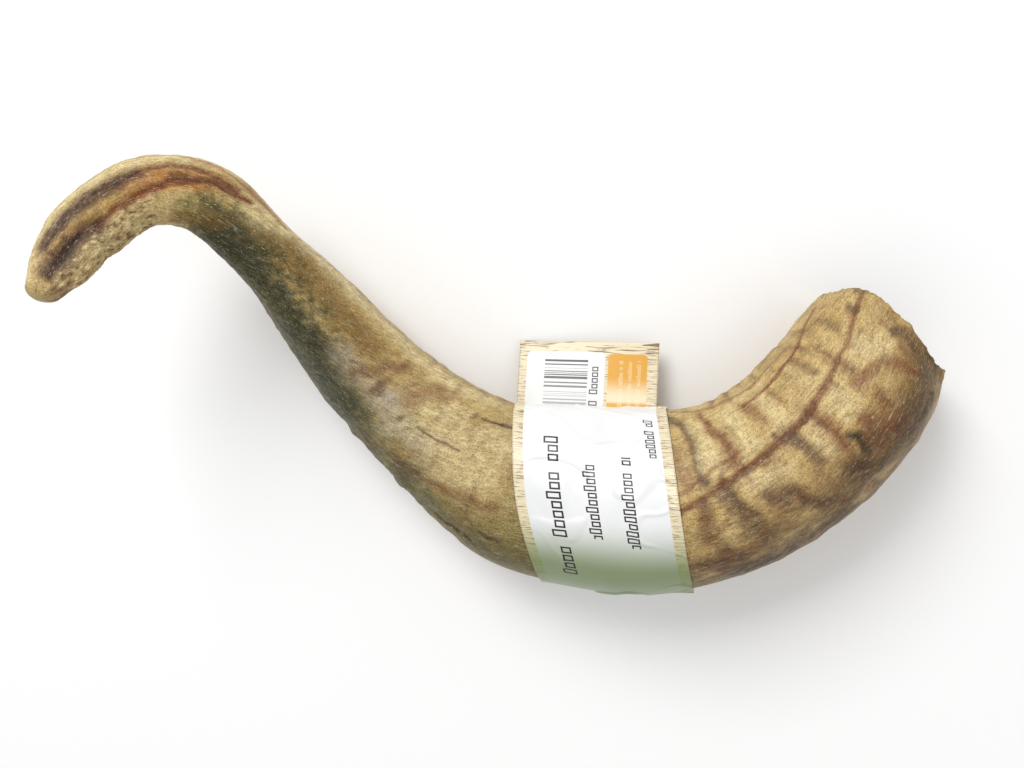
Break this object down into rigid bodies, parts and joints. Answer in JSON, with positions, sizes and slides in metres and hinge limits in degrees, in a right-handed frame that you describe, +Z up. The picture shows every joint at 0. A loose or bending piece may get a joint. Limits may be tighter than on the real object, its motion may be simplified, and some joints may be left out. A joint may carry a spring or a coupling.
{
  "type": "ram's horn with paper label",
  "caption": "Raw ram's horn, hollow at its cut base and twisted to a closed rounded tip, with a paper label wrapped round its middle and stuck into a flag.",
  "frame": {"origin": "centre of the footprint of the whole, on the surface it lies on", "axes": "+Z up, +X from the tip towards the cut base, +Y towards the hollow side of the curve"},
  "size_m": [0.2064, 0.1082, 0.0686],
  "materials": {
    "horn": "natural keratin, satin, streaked and ringed",
    "label_paper": "smooth coated paper",
    "label_adhesive": "dried label adhesive"
  },
  "bodies": {
    "horn": {"horn_sheath": "horn", "label_band": "label_paper"},
    "flag": {"label_flag_front": "label_paper", "label_flag_back": "label_paper", "flag_glue": "label_adhesive"}
  },
  "joints": [
    {"name": "flag_fold", "type": "hinge", "parent": "horn", "child": "flag", "pos_m": [0.01607, -0.01086, 0.0091], "axis": [0.9952, 0, 0.0976], "range_deg": [-3, 50], "stiffness_Nm_per_rad": 0.002}
  ]
}
